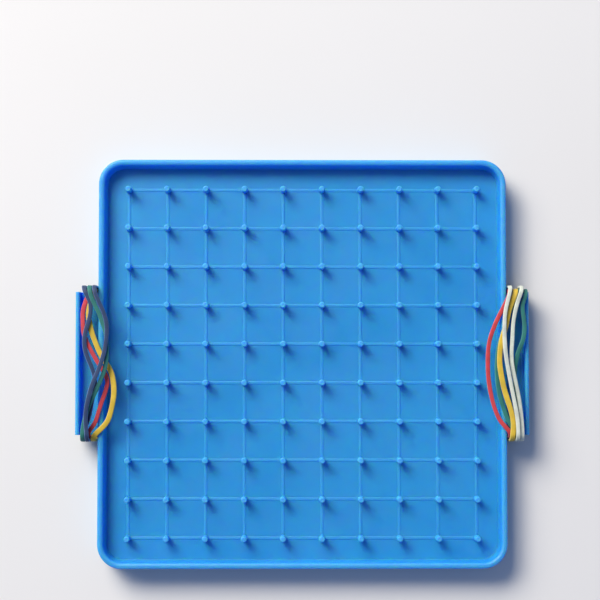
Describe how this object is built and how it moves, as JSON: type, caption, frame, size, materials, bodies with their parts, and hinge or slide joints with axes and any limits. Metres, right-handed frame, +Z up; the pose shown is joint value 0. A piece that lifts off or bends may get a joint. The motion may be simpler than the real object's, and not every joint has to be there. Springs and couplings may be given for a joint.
{
  "type": "geoboard",
  "caption": "Square peg tray with a raised rim, a grid of fixed round pegs joined by low ribs, and a channel-shaped ear on each side that carries loose rubber bands.",
  "frame": {"origin": "centre of the square tray on the plane that it rests on, at the lower edge of its skirt", "axes": "+Z up through the pegs, +X towards the right ear, +Y towards the tray's upper edge, along the ears"},
  "size_m": [0.1722, 0.155, 0.0159],
  "materials": {
    "board_plastic": "satin moulded polypropylene, bright blue",
    "red_rubber": "dusty matte rubber, red",
    "yellow_rubber": "dusty matte rubber, yellow",
    "green_rubber": "dusty matte rubber, dark green",
    "white_rubber": "dusty matte rubber, cream white",
    "navy_rubber": "dusty matte rubber, dark slate blue"
  },
  "bodies": {
    "board": {"board": "board_plastic"},
    "right_red": {"band_right_red": "red_rubber"},
    "right_yellow": {"band_right_yellow": "yellow_rubber"},
    "right_green_inner": {"band_right_green_inner": "green_rubber"},
    "right_green_outer": {"band_right_green_outer": "green_rubber"},
    "right_white_inner": {"band_right_white_inner": "white_rubber"},
    "right_white_outer": {"band_right_white_outer": "white_rubber"},
    "left_yellow": {"band_left_yellow": "yellow_rubber"},
    "left_red": {"band_left_red": "red_rubber"},
    "left_navy_inner": {"band_left_navy_inner": "navy_rubber"},
    "left_green": {"band_left_green": "green_rubber"},
    "left_navy_outer": {"band_left_navy_outer": "navy_rubber"}
  },
  "joints": [
    {"name": "right_red_off", "type": "slide", "parent": "board", "child": "right_red", "axis": [1, 0, 0], "range_m": [0, 0.022]},
    {"name": "right_yellow_off", "type": "slide", "parent": "right_red", "child": "right_yellow", "axis": [1, 0, 0], "range_m": [0, 0.022]},
    {"name": "right_green_inner_off", "type": "slide", "parent": "right_yellow", "child": "right_green_inner", "axis": [1, 0, 0], "range_m": [0, 0.022]},
    {"name": "right_green_outer_off", "type": "slide", "parent": "right_green_inner", "child": "right_green_outer", "axis": [1, 0, 0], "range_m": [0, 0.022]},
    {"name": "right_white_inner_off", "type": "slide", "parent": "right_green_outer", "child": "right_white_inner", "axis": [1, 0, 0], "range_m": [0, 0.022]},
    {"name": "right_white_outer_off", "type": "slide", "parent": "right_white_inner", "child": "right_white_outer", "axis": [1, 0, 0], "range_m": [0, 0.022]},
    {"name": "left_yellow_off", "type": "slide", "parent": "board", "child": "left_yellow", "axis": [-1, 0, 0], "range_m": [0, 0.022]},
    {"name": "left_red_off", "type": "slide", "parent": "left_yellow", "child": "left_red", "axis": [-1, 0, 0], "range_m": [0, 0.022]},
    {"name": "left_navy_inner_off", "type": "slide", "parent": "left_red", "child": "left_navy_inner", "axis": [-1, 0, 0], "range_m": [0, 0.022]},
    {"name": "left_green_off", "type": "slide", "parent": "left_navy_inner", "child": "left_green", "axis": [-1, 0, 0], "range_m": [0, 0.022]},
    {"name": "left_navy_outer_off", "type": "slide", "parent": "left_green", "child": "left_navy_outer", "axis": [-1, 0, 0], "range_m": [0, 0.022]}
  ]
}
